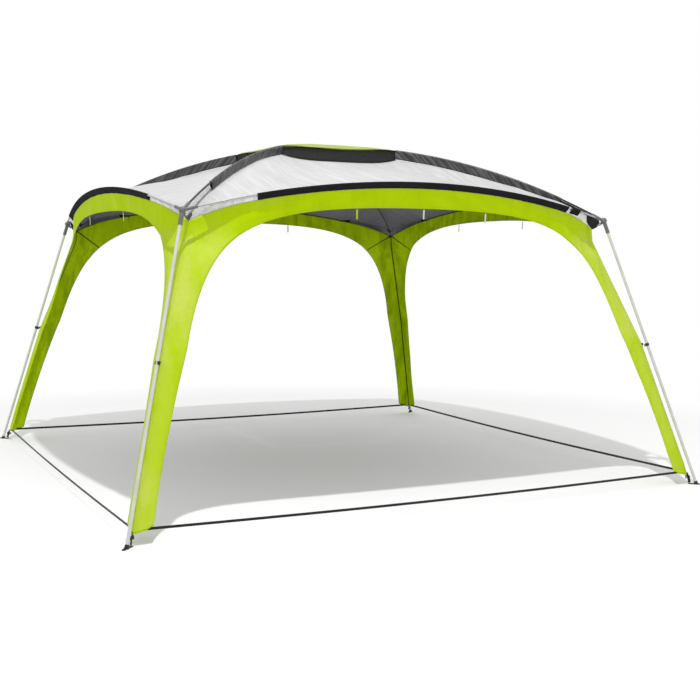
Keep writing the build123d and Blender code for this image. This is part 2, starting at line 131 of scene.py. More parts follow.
def turned(point, quarter):
    """The point turned about Z by whole quarter turns."""
    x, y = point.x, point.y
    for _ in range(quarter % 4):
        x, y = -y, x
    return Vector((x, y, point.z))


def ripple(point, stretch, seed):
    """Smooth noise from -1 to 1 that repeats the same on every run."""
    spot = Vector((point[0] * stretch[0], point[1] * stretch[1], point[2] * stretch[2]))
    return noise.noise(spot + Vector((seed * 7.3, seed * 3.1, seed * 5.7)))


def wrinkle(kind, point, part):
    """Height of one kind of wrinkle (its height, waves per metre, seed) on this part of the cloth."""
    height, waves, seed = kind
    return height * ripple(point, waves, seed + part)


class Cloth:
    """Grids of points that become one mesh, welded wherever two grids share a point.

    A grid is rows of (point, uv, seam, joint): uv is in metres, seam is the distance to a hem and
    joint is the distance to a seam inside the cloth.
    """

    def __init__(self):
        self.index = {}
        self.points, self.seams, self.joints = [], [], []
        self.faces, self.face_uvs = [], []

    def number(self, point, seam, joint):
        key = tuple(round(value, WELD_DIGITS) for value in point)
        if key not in self.index:
            self.index[key] = len(self.points)
            self.points.append(point)
            self.seams.append(seam)
            self.joints.append(joint)
        return self.index[key]

    def add(self, rows, closed=False):
        numbers = [[self.number(point, seam, joint) for point, _, seam, joint in row] for row in rows]
        count = len(rows[0])
        for r in range(len(rows) - 1):
            for c in range(count if closed else count - 1):
                d = (c + 1) % count
                cells = ((r, c), (r, d), (r + 1, d), (r + 1, c))
                self.faces.append([numbers[i][j] for i, j in cells])
                self.face_uvs += [rows[i][j][1] for i, j in cells]
        return self

    def mesh(self, name):
        mesh = bpy.data.meshes.new(name)
        mesh.from_pydata(self.points, [], self.faces)
        layer = mesh.uv_layers.new(name="cloth")
        layer.data.foreach_set("uv", [value for uv in self.face_uvs for value in uv])
        for attribute, values in (("seam", self.seams), ("joint", self.joints)):
            mesh.attributes.new(attribute, "FLOAT", "POINT").data.foreach_set("value", values)
        mesh.shade_smooth()
        return mesh


def new_object(name, data):
    obj = bpy.data.objects.new(name, data)
    bpy.context.scene.collection.objects.link(obj)
    return obj


def add_object(name, data, materials, body, nodes):
    """Makes an object with its materials, and ties it to the frame."""
    obj = new_object(name, data)
    for material in materials:
        data.materials.append(material)
    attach(obj, body)
    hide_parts(*nodes)
    return obj


def thicken(obj, thickness, inner_material, offset):
    """Gives a sheet its two faces. The inner one can have a material of its own."""
    solid = obj.modifiers.new("thickness", "SOLIDIFY")
    solid.thickness = thickness
    solid.offset = offset
    solid.use_even_offset = False
    solid.material_offset = inner_material
    solid.material_offset_rim = 0


def taut_sheet(name, mesh, materials, nodes, thickness, offset=0.0):
    """A stretched sheet of cloth. A second material is for its inner face."""
    obj = add_object(name, mesh, materials, "canopy", nodes)
    thicken(obj, thickness, len(materials) - 1, offset)


# -------- arches
class Arch:
    """A circular arch over a level chord, rising square to it."""

    def __init__(self, middle, along, rise_dir, half, rise):
        self.radius = (half ** 2 + rise ** 2) / (2 * rise)
        self.centre = middle + rise_dir * (rise - self.radius)
        self.along = along
        self.rise_dir = rise_dir
        self.side = along.cross(rise_dir)

    def point(self, along, radial=0.0, sideways=0.0):
        """A point this far out from the centre line and to its side."""
        up = sqrt(self.radius ** 2 - along ** 2)
        normal = (self.along * along + self.rise_dir * up) / self.radius
        return self.centre + normal * (self.radius + radial) + self.side * sideways


LEAN_DIR = Vector((0, -sin(SIDE_LEAN), cos(SIDE_LEAN)))
UPPER = Arch(Vector((0, 0, HUB_Z)), OUT, UP, HUB_OUT, PEAK_UPPER - HUB_Z)
LOWER = Arch(Vector((0, 0, HUB_Z)), OUT, UP, HUB_OUT, PEAK_LOWER - HUB_Z)
SIDE = Arch(Vector((0, -HUB, HUB_Z)), Vector((1, 0, 0)), LEAN_DIR, HUB, SIDE_RISE)


# -------- canopy outlines
def seam_at(height):
    """Half width of the canopy at a corner seam, at this height."""
    for (x0, z0), (x1, z1) in zip(CORNER_SEAM, CORNER_SEAM[1:]):
        if height <= z1:
            return mix(x0, x1, (height - z0) / (z1 - z0))
    return APEX


def curve_at(share):
    """(x, z) on the curved part of the arch edge: 0 at the leg, 1 at the middle of the side."""
    keep = 1 - share
    weights = (keep ** 3, 3 * keep ** 2 * share, 3 * keep * share ** 2, share ** 3)
    x = sum(w * p[0] for w, p in zip(weights, ARCH_CURVE))
    z = sum(w * p[1] for w, p in zip(weights, ARCH_CURVE))
    return x, z


def arch_edge(x, z):
    """The front arch edge's point for this (x, z)."""
    bulge = ARCH_BULGE * (1 - (x / ARCH_BULGE_REACH) ** 2) * ease(*BULGE_FADE, z)
    return Vector((x, -seam_at(z) - bulge, z))


def arch_height(x):
    """Height of the arch edge at this distance from the middle of a side."""
    low, high = 0.0, 1.0
    while high - low > 1e-6:
        middle = (low + high) / 2
        if curve_at(middle)[0] > x:
            low = middle
        else:
            high = middle
    return curve_at(low)[1]


def eave(x):
    """Seam between roof and valance at the front: under the sleeve, then down to the apex."""
    beyond = abs(x) - SIDE_SLEEVE
    if beyond <= 0:
        return SIDE.point(x) + Vector((0, EAVE_INSET, -EAVE_DROP))
    start = eave(SIDE_SLEEVE)
    slope = (start - eave(SIDE_SLEEVE - 0.001)) * 1000
    reach = APEX - SIDE_SLEEVE
    bend_y = (-APEX - start.y - slope.y * reach) / reach ** 2
    bend_z = (APEX_Z - start.z - slope.z * reach) / reach ** 2
    y = start.y + slope.y * beyond + bend_y * beyond ** 2
    z = start.z + slope.z * beyond + bend_z * beyond ** 2
    return Vector((x, y, z))


def ridge_height(x):
    """Height of the roof ridge above the diagonal at this x."""
    if x <= RIDGE_TURN:
        return UPPER.point(x * sqrt(2)).z - RIDGE_DROP
    start = ridge_height(RIDGE_TURN)
    beyond = x - RIDGE_TURN
    reach = APEX - RIDGE_TURN
    bend = (APEX_Z - start + RIDGE_SLOPE * reach) / reach ** 2
    return start - RIDGE_SLOPE * beyond + bend * beyond ** 2


def roof_fold(x):
    """Front edge of the flat part of the roof, just under the perimeter pole."""
    size = abs(x)
    under_pole = SIDE.point(x) + Vector((0, 0.004, -FOLD_DROP))
    seam = eave(x) + Vector((0, 0.002, 0.004))
    edge = seam.lerp(under_pole, ease(SIDE_SLEEVE - 0.06, SIDE_SLEEVE - 0.01, size))
    corner = Vector((x, -size, ridge_height(size)))
    return edge.lerp(corner, ease(1.19, FOLD_END, size))


# -------- materials
class Shader:
    """A node material, with short calls for the nodes that it uses."""

    def __init__(self, name, colour, roughness, **sockets):
        self.material = bpy.data.materials.new(name)
        self.material.use_nodes = True
        self.tree = self.material.node_tree
        self.surface = self.tree.nodes["Principled BSDF"]
        self.output = self.tree.nodes["Material Output"]
        self.colour = colour
        self.heights = []
        self.feed(self.surface.inputs["Base Color"], colour)
        self.feed(self.surface.inputs["Roughness"], roughness)
        for key, value in sockets.items():
            self.feed(self.surface.inputs[key.replace("_", " ")], value)

    def feed(self, socket, value):
        if isinstance(value, bpy.types.NodeSocket):
            self.tree.links.new(value, socket)
        elif socket.type == "RGBA" and len(value) == 3:
            socket.default_value = (*value, 1.0)
        else:
            socket.default_value = value

    def add(self, kind, inputs, **settings):
        """A new node. inputs are by name or number."""
        new = self.tree.nodes.new("ShaderNode" + kind)
        for key, value in settings.items():
            setattr(new, key, value)
        for key, value in inputs.items():
            self.feed(new.inputs[key], value)
        return new

    def calc(self, operation, *values):
        node = self.add("Math", dict(enumerate(values)), operation=operation)
        return node.outputs[0]

    def scaled(self, source, scale):
        return self.add("Mapping", {"Vector": source, "Scale": scale}).outputs[0]

    def object_place(self):
        return self.add("TexCoord", {}).outputs["Object"]

    def split(self, source):
        """The x, y and z of a vector."""
        return self.add("SeparateXYZ", {0: source}).outputs

    def waves(self, place, pitch):
        """Angles that turn once for every thread, along the cloth and across it."""
        return self.split(self.scaled(place, (2 * pi / pitch,) * 3))

    def ramp(self, factor, low, high, start=0.0, end=1.0):
        """Runs from start to end while the factor runs from low to high."""
        return self.add("MapRange", {0: factor, 1: low, 2: high, 3: start, 4: end}).outputs[0]

    def noise(self, source, scale, detail=2.0, roughness=0.5, stretch=(1, 1, 1), distortion=0.0):
        inputs = {"Vector": self.scaled(source, stretch), "Scale": scale, "Detail": detail,
                  "Roughness": roughness, "Distortion": distortion}
        return self.add("TexNoise", inputs).outputs["Fac"]

    def tint(self, factor, other, low=0.0, high=1.0):
        """Mixes the colour so far towards another by a factor that runs from low to high."""
        share = self.ramp(factor, low, high)
        blend = self.add("Mix", {0: share, 6: self.colour, 7: other}, data_type="RGBA")
        self.colour = blend.outputs[2]
        self.feed(self.surface.inputs["Base Color"], self.colour)

    def bump(self, height, distance, strength=1.0):
        """Adds a bump on top of those so far."""
        inputs = {"Height": height, "Distance": distance, "Strength": strength}
        if self.heights:
            inputs["Normal"] = self.heights[-1]
        self.heights.append(self.add("Bump", inputs).outputs[0])
        self.feed(self.surface.inputs["Normal"], self.heights[-1])

    def rough(self, factor, low, high):
        self.feed(self.surface.inputs["Roughness"], self.ramp(factor, 0.3, 0.7, low, high))

    def glow_through(self, colour, share):
        """Lets some of the light from behind show through the cloth."""
        veil = self.add("BsdfTranslucent", {"Color": colour})
        both = self.add("MixShader", {0: share, 1: self.surface.outputs[0], 2: veil.outputs[0]})
        self.feed(self.output.inputs["Surface"], both.outputs[0])


def cloth_place(shader):
    """The cloth's own place (along, across, 0), in metres, and the distance to its sewn edge."""
    place = shader.add("UVMap", {}, uv_map="cloth").outputs[0]
    seam = shader.add("Attribute", {}, attribute_name="seam").outputs["Fac"]
    return place, seam


def weave(shader, place, pitch, depth):
    """Plain weave: threads over and under each other along and across the cloth."""
    along, across, _ = shader.waves(place, pitch)
    product = shader.calc("MULTIPLY", shader.calc("SINE", along), shader.calc("SINE", across))
    shader.bump(product, depth, 0.6)


def stitches(shader, place, seam, distance, thread, pitch=0.0042, width=0.0011):
    """A line of thread stitches at a distance from the sewn edge, in a shallow groove."""
    offset = shader.calc("ABSOLUTE", shader.calc("SUBTRACT", seam, distance))
    line = shader.calc("LESS_THAN", offset, width / 2)
    along = shader.split(place)[0]
    dash = shader.calc("LESS_THAN", shader.calc("FRACT", shader.calc("DIVIDE", along, pitch)), 0.68)
    mark = shader.calc("MULTIPLY", line, dash)
    shader.tint(mark, thread)
    shader.bump(shader.ramp(offset, 0.0, width * 2.5), 0.0006, 0.7)


def fabric(name, colour, shade, thread, tilt=None, tape=None, streak=None, upright=False, wrinkle=1.0,
           glow=None, shine=0.06, roughness=(0.5, 0.7)):
    """Coated polyester: weave, creases, uneven tone, stitched hems and sewn joints.

    tilt is (colour, low, high): painted light and shade, another colour for cloth whose normal's rise is
    from low to high.
    streak is (colour, scale, depth): fine folds down the cloth, or straight down where it is
    upright, with painted shade or painted highlight in that colour along them. tape is the colour of the
    joints' binding.
    """
    shader = Shader(name, colour, 0.5, Specular_IOR_Level=shine)
    place, seam = cloth_place(shader)
    joint = shader.add("Attribute", {}, attribute_name="joint").outputs["Fac"]
    spot = shader.object_place()
    # painted light and shade: the colour changes with the way the cloth faces, by its normal's rise
    if tilt:
        normal = shader.add("NewGeometry", {}).outputs["Normal"]
        rise = shader.split(normal)[2]
        patchy = shader.calc("MULTIPLY", shader.noise(spot, 1.6, 2.0, 0.5), 0.1)
        shader.tint(shader.calc("ADD", rise, patchy), *tilt)
    tone = shader.noise(spot, 2.2, 3.0, 0.55)
    shader.tint(tone, shade, 0.35, 0.95)
    # painted shade or painted highlight: the streak colour follows the folds' noise, the same noise that
    # bumps them
    if streak:
        source, stretch = (spot, (1.0, 1.0, 0.12)) if upright else (place, (1.0, 0.07, 1.0))
        folds = shader.noise(source, streak[1], 3.0, 0.6, stretch=stretch, distortion=0.3)
        shader.tint(folds, streak[0], 0.42, 0.72)
        shader.bump(folds, streak[2], 0.8)
    creases = shader.noise(spot, 9.0, 4.0, 0.55, distortion=0.6)
    shader.bump(creases, 0.008 * wrinkle, 0.4)
    slanted = shader.noise(place, 16.0, 3.0, 0.6, stretch=(1.0, 0.35, 1.0), distortion=1.2)
    shader.bump(slanted, 0.004 * wrinkle, 0.4)
    fine = shader.noise(spot, 46.0, 3.0, 0.6)
    shader.bump(fine, 0.0012 * wrinkle, 0.3)
    shader.rough(creases, *roughness)
    shader.bump(shader.ramp(seam, 0.0135, 0.0150, 1.0, 0.0), 0.0008, 0.8)
    if tape:
        edge = shader.ramp(joint, 0.0045, 0.0060, 1.0, 0.0)
        binding = shader.ramp(seam, 0.0030, 0.0045, 1.0, 0.0)
        shader.tint(shader.calc("MAXIMUM", edge, binding), tape)
        shader.bump(edge, 0.0010, 0.7)
    stitches(shader, place, seam, 0.0025, thread)
    stitches(shader, place, seam, 0.0115, thread)
    weave(shader, place, 0.0011, 0.00012)
    if glow:
        shader.glow_through(*glow)
    return shader.material


def webbing(name, colour, light, pitch=0.0022):
    """Woven narrow webbing: ribs along it and slanted picks across."""
    shader = Shader(name, colour, 0.75, Sheen_Weight=0.2, Specular_IOR_Level=0.3)
    place, _ = cloth_place(shader)
    along, across, _ = shader.waves(place, pitch)
    slant = shader.calc("ADD", along, across)
    ribs = shader.calc("MULTIPLY", shader.calc("SINE", slant), shader.calc("SINE", across))
    shader.tint(ribs, light, 0.0, 2.0)
    shader.bump(ribs, 0.0004, 0.8)
    wear = shader.noise(shader.object_place(), 60.0, 3.0)
    shader.rough(wear, 0.6, 0.85)
    return shader.material


def moulded(name, colour, worn, grain, roughness):
    """Moulded plastic: fine spark-eroded grain and slightly rubbed high spots."""
    shader = Shader(name, colour, roughness, Specular_IOR_Level=0.45)
    spot = shader.object_place()
    rub = shader.noise(spot, 35.0, 4.0, 0.6)
    shader.tint(rub, worn, 0.4, 0.9)
    shader.rough(rub, roughness - 0.08, roughness + 0.12)
    shader.bump(shader.noise(spot, 1400.0, 2.0), grain, 0.5)
    return shader.material


def tube_metal(name, colour, dull, roughness, metal):
    """Drawn tube: faint lengthwise streaks and cloudy oxide."""
    shader = Shader(name, colour, roughness, Metallic=metal)
    spot = shader.object_place()
    cloud = shader.noise(spot, 14.0, 3.0)
    shader.tint(cloud, dull, 0.35, 0.9)
    streaks = shader.noise(spot, 220.0, 2.0, stretch=(1, 1, 0.03))
    shader.rough(streaks, roughness - 0.07, roughness + 0.1)
    shader.bump(streaks, 0.00006, 0.35)
    return shader.material


def fibreglass(name, colour, streak, roughness):
    """Pulled fibreglass tube: long fibres under a thin gloss."""
    shader = Shader(name, colour, roughness, Coat_Weight=0.25, Coat_Roughness=0.2)
    spot = shader.object_place()
    fibres = shader.noise(spot, 160.0, 3.0, stretch=(0.15, 0.15, 1))
    shader.tint(fibres, streak, 0.4, 0.8)
    shader.rough(fibres, roughness - 0.05, roughness + 0.1)
    shader.bump(fibres, 0.00008, 0.3)
    return shader.material


def net(name, colour, light, pitch=0.0024):
    """Insect mesh: a fine net that lets a little of the light through."""
    shader = Shader(name, colour, 0.7, Alpha=0.88)
    place, seam = cloth_place(shader)
    along, across, _ = shader.waves(place, pitch)
    threads = shader.calc("MAXIMUM", shader.calc("SINE", along), shader.calc("SINE", across))
    shader.tint(threads, light, 0.6, 1.2)
    shader.bump(threads, 0.0003, 0.6)
    stitches(shader, place, seam, 0.004, light)
    return shader.material


LIME = (0.540, 0.745, 0.0)
# painted shade, partly: a darker lime for random uneven tone, and painted shade along the upright folds
# of lime_outside
LIME_SHADE = (0.480, 0.680, 0.0)
# painted highlight: paler lime where the cloth faces upwards
LIME_PAINTED_HIGHLIGHT = (0.620, 0.710, 0.115)
# painted shade: the inner face's lime is a slightly darker copy of the outer one
LIME_INSIDE = (0.500, 0.700, 0.0)
LIME_INSIDE_SHADE = (0.360, 0.520, 0.0)
# painted shade: darker lime along the folds of the inner face
LIME_FOLD_SHADE = (0.260, 0.380, 0.0)
CAP_LIME = (0.330, 0.400, 0.110)
CAP_LIME_SHADE = (0.300, 0.370, 0.080)
LIME_THREAD = (0.340, 0.480, 0.002)
LIME_GLOW = ((0.50, 0.68, 0.0), 0.14)
SEAM_TAPE = (0.030, 0.040, 0.006)
ROOF_GREY = (0.470, 0.470, 0.470)
ROOF_GREY_SHADE = (0.420, 0.420, 0.425)
# painted highlight: lighter grey along the roof's fine folds
ROOF_FOLD_HIGHLIGHT = (0.540, 0.540, 0.540)
# painted light and shade: the roof turns white where it is steep and stays grey where it faces up
ROOF_PAINTED_LIGHT = (0.880, 0.880, 0.880)
ROOF_UNDER = (0.170, 0.165, 0.190)
# painted shade, partly: a darker grey for random uneven tone, and painted shade along the folds of the
# roof's inner face
ROOF_UNDER_SHADE = (0.130, 0.125, 0.145)

# painted highlight on the lime where it faces upwards, and painted shade along its upright folds
lime_outside = fabric("lime_outside", LIME, LIME_SHADE, LIME_THREAD, tilt=(LIME_PAINTED_HIGHLIGHT, 0.06, 0.40),
                      streak=(LIME_SHADE, 13.0, 0.007), upright=True, glow=LIME_GLOW)
# painted shade along the folds of the inner face
lime_inside = fabric("lime_inside", LIME_INSIDE, LIME_INSIDE_SHADE, LIME_THREAD, tape=SEAM_TAPE,
                     streak=(LIME_FOLD_SHADE, 15.0, 0.010), upright=True, glow=LIME_GLOW, wrinkle=2.5)
cap_outside = fabric("cap_outside", CAP_LIME, CAP_LIME_SHADE, LIME_THREAD, tape=SEAM_TAPE)
# painted light and shade by slope, white where steep and grey on top, and a painted highlight along the
# fine folds
roof_outside = fabric("roof_outside", ROOF_GREY, ROOF_GREY_SHADE, (0.4, 0.4, 0.4),
                      tilt=(ROOF_PAINTED_LIGHT, 0.75, 0.35), streak=(ROOF_FOLD_HIGHLIGHT, 34.0, 0.004))
# painted shade along the folds of the roof's inner face
roof_inside = fabric("roof_inside", ROOF_UNDER, ROOF_UNDER_SHADE, (0.05, 0.05, 0.05),
                     tape=(0.02, 0.02, 0.022), streak=(ROOF_UNDER_SHADE, 30.0, 0.003))
# painted highlight: the streak colour lightens the charcoal along its pleats
charcoal = fabric("charcoal_sleeve", (0.018, 0.018, 0.019), (0.030, 0.030, 0.031), (0.010, 0.010, 0.010),
                  streak=((0.135, 0.135, 0.137), 34.0, 0.006), shine=0.5, roughness=(0.25, 0.45))
black_cloth = fabric("black_sleeve", (0.014, 0.013, 0.016), (0.022, 0.020, 0.025), (0.005, 0.005, 0.005),
                     shine=0.04, roughness=(0.7, 0.9))
black_net = net("black_net", (0.006, 0.006, 0.007), (0.020, 0.020, 0.022))
black_webbing = webbing("black_webbing", (0.004, 0.004, 0.005), (0.014, 0.014, 0.016))
white_tape = webbing("white_tape", (0.78, 0.78, 0.74), (0.9, 0.9, 0.88))
lime_tape = webbing("lime_tape", (0.50, 0.66, 0.01), (0.60, 0.74, 0.05))
hub_plastic = moulded("hub_plastic", (0.120, 0.120, 0.122), (0.17, 0.17, 0.172), 0.00012, 0.42)
black_plastic = moulded("black_plastic", (0.010, 0.010, 0.011), (0.025, 0.025, 0.026), 0.0001, 0.45)
leg_metal = tube_metal("leg_metal", (0.64, 0.635, 0.62), (0.52, 0.52, 0.51), 0.34, 0.25)
ferrule_metal = tube_metal("ferrule_metal", (0.55, 0.55, 0.55), (0.42, 0.42, 0.42), 0.3, 0.8)
side_pole_glass = fibreglass("side_pole_glass", (0.33, 0.33, 0.35), (0.42, 0.42, 0.44), 0.32)
roof_pole_glass = fibreglass("roof_pole_glass", (0.010, 0.010, 0.011), (0.03, 0.03, 0.03), 0.3)
elastic = webbing("elastic", (0.01, 0.01, 0.01), (0.05, 0.05, 0.05), 0.001)

CAD_MATERIALS = {
    "hub": hub_plastic,
    "leg_clip": black_plastic,
    "leg_": leg_metal,
    "foot_": black_plastic,
    "perimeter_pole": side_pole_glass,
    "diagonal_pole": roof_pole_glass,
    "pole_ferrules": ferrule_metal,
    "corner_hooks": ferrule_metal,
    "shock_cords": elastic,
}


def finish_frame():
    """Gives the frame's own pieces their materials."""
    for name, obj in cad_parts.items():
        for start, material in CAD_MATERIALS.items():
            if name.startswith(start):
                for held in obj.material_slots:
                    held.material = material
                break


# -------- canopy
DRAPE_ROWS = 120
DRAPE_COLUMNS = 16
DRAPE_LENGTH = 1.52
LEG_LEVEL = 0.6  # level at which the straight part of a drape's free edge ends
DRAPE_BELLY = 0.010
DRAPE_FOLDS = (0.0065, (17, 1, 1.3), 0)
DRAPE_DENTS = (0.0035, (9, 1, 6), 20)
DRAPE_FLUTTER = (0.0035, (1, 1, 4.5), 40)


def drape_row(level):
    """Arch-edge point and corner-seam point of the front panel of a leg drape, at this level."""
    if level <= LEG_LEVEL:
        spring_x, spring_z = ARCH_CURVE[0]
        part = level / LEG_LEVEL
        bow = DRAPE_BOW * 4 * part * (1 - part)
        inner = (mix(HEM_INNER[0], spring_x, part) + bow, mix(HEM_INNER[1], spring_z, part))
    else:
        inner = curve_at(DRAPE_SHARE * (level - LEG_LEVEL) / (1 - LEG_LEVEL))
    height = mix(CORNER_SEAM[0][1], APEX_Z, level)
    width = seam_at(height)
    return arch_edge(*inner), Vector((width, -width, height))


def drape_push(share, level, width, height, panel):
    """How far the cloth of a leg drape stands out of its taut shape."""
    from_seam, from_edge, from_top = share * width, (1 - share) * width, (1 - level) * DRAPE_LENGTH
    slack = ease(0, TAUT, from_seam) * ease(0, TAUT, from_edge) * ease(0, 0.12, from_top)
    folds = wrinkle(DRAPE_FOLDS, (from_seam, 0, height), panel)
    dents = wrinkle(DRAPE_DENTS, (from_seam, 0, height), panel)
    flutter = wrinkle(DRAPE_FLUTTER, (0, 0, height), panel) * ease(0, 1.0, share)
    belly = DRAPE_BELLY * sin(pi * share) * ease(0, 0.2, from_top) * ease(0, 0.1, level)
    edge_wave = flutter * ease(0, 0.12, from_top) * ease(0, 0.08, level)
    return belly + (folds + dents) * slack + edge_wave


def leg_drape(quarter, cloth):
    """One drape round a corner, from the arch edge of one side to that of the next."""
    rows = []
    for level in shares(DRAPE_ROWS):
        edge, seam = drape_row(level)
        width = (edge - seam).length
        row = []
        for column in range(-DRAPE_COLUMNS, DRAPE_COLUMNS + 1):
            share = abs(column) / DRAPE_COLUMNS
            point = seam.lerp(edge, share)
            panel = quarter * 2 + (column < 0)
            point.y -= drape_push(share, level, width, point.z, panel)
            point.z -= HEM_DROP * (1 - ease(0, TAUT, level)) * (1 - ease(0.6, 0.95, share))
            if column > 0:
                point = Vector((-point.y, -point.x, point.z))
            uv = (point.z, share * width if column < 0 else -share * width)
            to_hem = min((1 - share) * width, (level + 0.002) * DRAPE_LENGTH)
            to_joint = min(share * width, (1 - level) * DRAPE_LENGTH)
            row.append((turned(point, quarter), uv, to_hem, to_joint))
        rows.append(row)
    cloth.add(rows)


VALANCE_COLUMNS = 144
VALANCE_HALF = 1.28
VALANCE_PUCKERS = (0.0026, (26, 1, 3), 60)
VALANCE_DRAG = (0.0075, (8, 1, 2.2), 70)
VALANCE_WAVES = (0.004, (4.2, 1, 0.3), 80)


def valance_push(x, height, from_edge, from_top, level, ends, quarter):
    """How far the cloth of a valance stands out of its taut shape."""
    slack = ease(0, TAUT, from_edge) * ease(0, TAUT, from_top) * ends
    pucker = wrinkle(VALANCE_PUCKERS, (x, 0, height), quarter) * ease(0, 0.012, from_top)
    pucker *= 1 - ease(0.03, 0.14, from_top)
    slant = x + (height if x > 0 else -height)
    drag = wrinkle(VALANCE_DRAG, (slant, 0, height), quarter)
    wave = wrinkle(VALANCE_WAVES, (x, 0, height), quarter) * (1 - level)
    return (pucker + wave) * ends + drag * slack


def valance(quarter, cloth):
    """The curtain between the eave and the arch edge of one side."""
    rows = []
    for level in shares(DRAPE_COLUMNS):
        row = []
        for part in shares(VALANCE_COLUMNS):
            along = 2 * part - 1
            share = abs(along)
            low = arch_edge(*curve_at(1 - (1 - DRAPE_SHARE) * share))
            high = eave(APEX * share)
            point = low.lerp(high, level)
            height = (high - low).length
            from_edge, from_top = level * height, (1 - level) * height
            ends = ease(0, 0.12, (1 - share) * 1.2)
            x = point.x if along >= 0 else -point.x
            push = valance_push(x, point.z, from_edge, from_top, level, ends, quarter)
            upright = min(abs(point.x - spot) for spot in SHORT_SEAMS)
            to_joint = min(from_top, (1 - share) * VALANCE_HALF, upright + 0.001)
            place = turned(Vector((x, point.y - push, point.z)), quarter)
            row.append((place, (x, from_edge), from_edge, to_joint))
        rows.append(row)
    cloth.add(rows)


def curtain():
    """All the lime cloth under the eaves, sewn into one: four leg drapes and four valances."""
    cloth = Cloth()
    for quarter in range(4):
        leg_drape(quarter, cloth)
        valance(quarter, cloth)
    mesh = cloth.mesh("curtain")
    face_outwards(mesh)
    nodes = [f"leg_drape_{corner}" for corner in CORNERS] + [f"valance_{side}" for side in SIDES]
    taut_sheet("curtain", mesh, [lime_outside, lime_inside], nodes,
               CLOTH)


def face_outwards(mesh):
    """Turns every face of a sewn sheet outwards."""
    edit = bmesh.new()
    edit.from_mesh(mesh)
    bmesh.ops.recalc_face_normals(edit, faces=edit.faces)
    edit.faces.ensure_lookup_table()
    face = edit.faces[0]
    if face.normal.dot(face.calc_center_median()) < 0:
        bmesh.ops.reverse_faces(edit, faces=edit.faces)
    edit.to_mesh(mesh)
    edit.free()


ROOF_COLUMNS = 72
ROOF_ROWS = 56
ROOF_TURN_DOWN = (1.3, 1.65, 2.0)  # levels of the strip that is folded down at the eaves
ROOF_DEPTH = 0.86  # from the vent to the fold, level and at a ridge
ROOF_FAN = (0.0030, (17, 1.5, 0), 100)
ROOF_FINE = (0.0011, (40, 3.0, 0), 105)
ROOF_BROAD = (0.006, (4, 4, 1), 109)


def roof_point(share, level):
    """A point of the front gore: share runs from ridge to ridge, level from vent to fold."""
    vent_z = ridge_height(VENT)
    ridge = mix(VENT, FOLD_END, level)
    lift = ridge_height(ridge) - mix(vent_z, ridge_height(FOLD_END), level)
    edge = roof_fold(FOLD_END * share)
    z = mix(vent_z - VENT_SAG * (1 - share ** 4), edge.z, level) + lift * share ** 6
    return Vector((share * ridge, mix(-VENT, edge.y, level), z))


def roof_crease(point, share, level, quarter):
    """Height of the folds that run down the roof: none at its sewn edges, most near the ridges."""
    near_ridge = (1 - abs(share)) * mix(VENT, FOLD_END, level)
    free = ease(0, TAUT, near_ridge) * ease(0, 0.04, level * 0.9) * ease(0, 0.05, (1 - level) * 0.9)
    folds = wrinkle(ROOF_FAN, point, quarter) + wrinkle(ROOF_FINE, point, quarter)
    near = 1 - ease(0.15, 0.75, near_ridge)
    return free * (folds * (0.3 + 0.7 * near) + wrinkle(ROOF_BROAD, point, quarter))


def roof():
    """The whole roof as one sheet: four gores round the vent, folded down at the eaves."""
    rows = []
    for level in shares(ROOF_ROWS) + list(ROOF_TURN_DOWN):
        row = []
        for quarter in range(4):
            for column in range(ROOF_COLUMNS):
                share = 2 * column / ROOF_COLUMNS - 1
                if level <= 1:
                    point = roof_point(share, level)
                    point.z += roof_crease(point, share, level, quarter)
                    from_ridge = (1 - abs(share)) * mix(VENT, FOLD_END, level)
                else:
                    point = roof_fold(FOLD_END * share).lerp(eave(APEX * share), level - 1)
                    from_ridge = 0.1
                from_edge = min(abs(level - 1) * ROOF_DEPTH + 0.001, level * ROOF_DEPTH)
                to_hem = min(from_ridge, from_edge + 0.001)
                row.append((turned(point, quarter), (point.x, point.y), to_hem, NO_SEAM))
        rows.append(row)
    mesh = Cloth().add(rows, closed=True).mesh("roof")
    mesh.flip_normals()
    taut_sheet("roof", mesh, [roof_outside, roof_inside],
               [f"roof_gore_{side}" for side in SIDES], CLOTH)


CAP_STEPS = 48
CAP_REACH = 0.402
CAP_UNDER = 0.0021  # the cloth lies this far under the crown
CAP_RIM = (0.003, 0.014)  # how far the rim turns down, and how wide that turn is
CAP_CREASES = (0.0015, (14, 14, 1), 140)


def cap_sag(x, y):
    """How far the cap sags between the diagonal poles."""
    return CAP_SAG * ((x ** 2 - y ** 2) / VENT ** 2) ** 2


def cap_height(x, y):
    """Height of the cap's cloth, tight over the crossing poles and slack between them."""
    from_edge = CAP_REACH - max(abs(x), abs(y))
    off_pole = ease(0, 0.05, abs(abs(x) - abs(y)))
    crease = wrinkle(CAP_CREASES, (x, y, 0), 0) * ease(0, 0.04, from_edge) * off_pole
    rim = CAP_RIM[0] * (1 - ease(0, CAP_RIM[1], from_edge))
    dip = CAP_DIP * ease(0, 1, x * y / VENT ** 2)
    return CAP_TOP - CAP_UNDER - CAP_ROUND * (x ** 2 + y ** 2) - dip - cap_sag(x, y) - crease - rim


def vent_cap():
    """Lime cap over the vent."""
    spots = [CAP_REACH * (2 * share - 1) for share in shares(CAP_STEPS)]
    rows = [[(Vector((x, y, cap_height(x, y))), (x, y), CAP_REACH - max(abs(x), abs(y)), NO_SEAM)
             for x in spots] for y in spots]
    mesh = Cloth().add(rows).mesh("vent_cap_cloth")
    taut_sheet("cap", mesh, [cap_outside, lime_inside], ["vent_cap"],
               CLOTH)


MESH_COLUMNS = 40
MESH_ROWS = 6
NET_GAP = 0.010  # between the net's upper edge and the cap's crown
NET_BELLY = 0.004
NET_FOLDS = (0.006, (9, 1, 9), 150)


